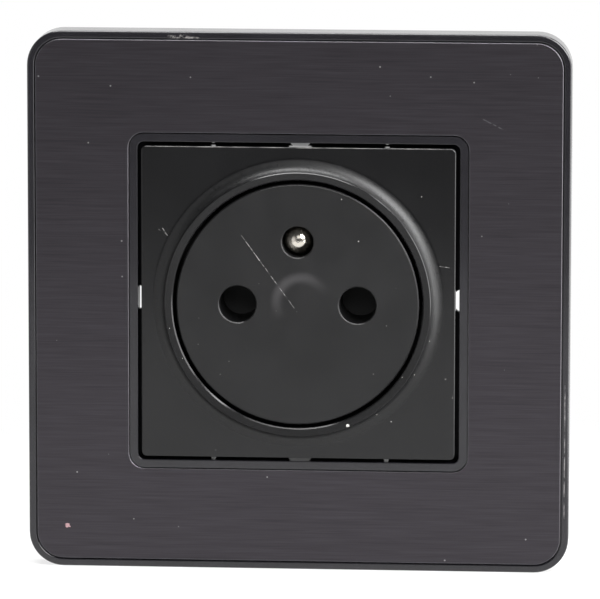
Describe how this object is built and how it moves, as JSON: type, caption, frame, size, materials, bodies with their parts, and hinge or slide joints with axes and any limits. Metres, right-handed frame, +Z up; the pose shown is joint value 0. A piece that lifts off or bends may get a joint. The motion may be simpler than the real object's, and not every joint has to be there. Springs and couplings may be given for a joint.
{
  "type": "flush wall socket",
  "caption": "Square wall socket with a brushed black plate, a raised round collar and a sprung disc that sinks as a plug goes in, so its earth pin comes out.",
  "frame": {"origin": "centre of the box screw pattern, on the wall plane", "axes": "+Z up, +X to the right seen from the room, +Y into the wall, so the front faces -Y"},
  "size_m": [0.086, 0.0403, 0.086],
  "materials": {
    "frame_plastic": "semi-gloss moulded polycarbonate",
    "panel_aluminium": "brushed and anodised black",
    "cover_plastic": "polished moulded polycarbonate",
    "disc_plastic": "satin moulded polycarbonate",
    "inner_plastic": "moulded polyamide",
    "housing_plastic": "moulded polyamide",
    "yoke_steel": "pressed steel, black zinc plated",
    "plated_brass": "turned brass, nickel plated",
    "contact_brass": "stamped sheet",
    "spring_steel": "drawn wire",
    "screw_steel": "zinc plated"
  },
  "bodies": {
    "socket_body": {"frame_tray": "frame_plastic", "brushed_panel": "panel_aluminium", "socket_cover": "cover_plastic", "mounting_yoke": "yoke_steel", "base_housing": "housing_plastic", "rear_cover": "housing_plastic", "return_spring_upper": "spring_steel", "return_spring_lower": "spring_steel", "earth_pin": "plated_brass", "earth_bar": "contact_brass", "live_contact": "contact_brass", "neutral_contact": "contact_brass", "live_terminal": "contact_brass", "neutral_terminal": "contact_brass", "earth_terminal": "contact_brass", "live_terminal_screw": "screw_steel", "neutral_terminal_screw": "screw_steel", "earth_terminal_screw": "screw_steel", "yoke_screws": "screw_steel", "rear_cover_screws": "screw_steel"},
    "disc_carriage": {"sprung_disc": "disc_plastic", "disc_base": "inner_plastic", "disc_screws": "screw_steel", "shutter_spring": "spring_steel"},
    "shutter_slider": {"shutter": "inner_plastic"}
  },
  "joints": [
    {"name": "disc_slide", "type": "slide", "parent": "socket_body", "child": "disc_carriage", "axis": [0, 1, 0], "range_m": [0, 0.015], "stiffness_N_per_m": 600, "springref_m": -0.008, "deforming": ["return_spring_upper", "return_spring_lower"]},
    {"name": "shutter_slide", "type": "slide", "parent": "disc_carriage", "child": "shutter_slider", "axis": [0, 0, -1], "range_m": [0, 0.0066], "stiffness_N_per_m": 80, "springref_m": -0.005, "deforming": ["shutter_spring"]}
  ]
}
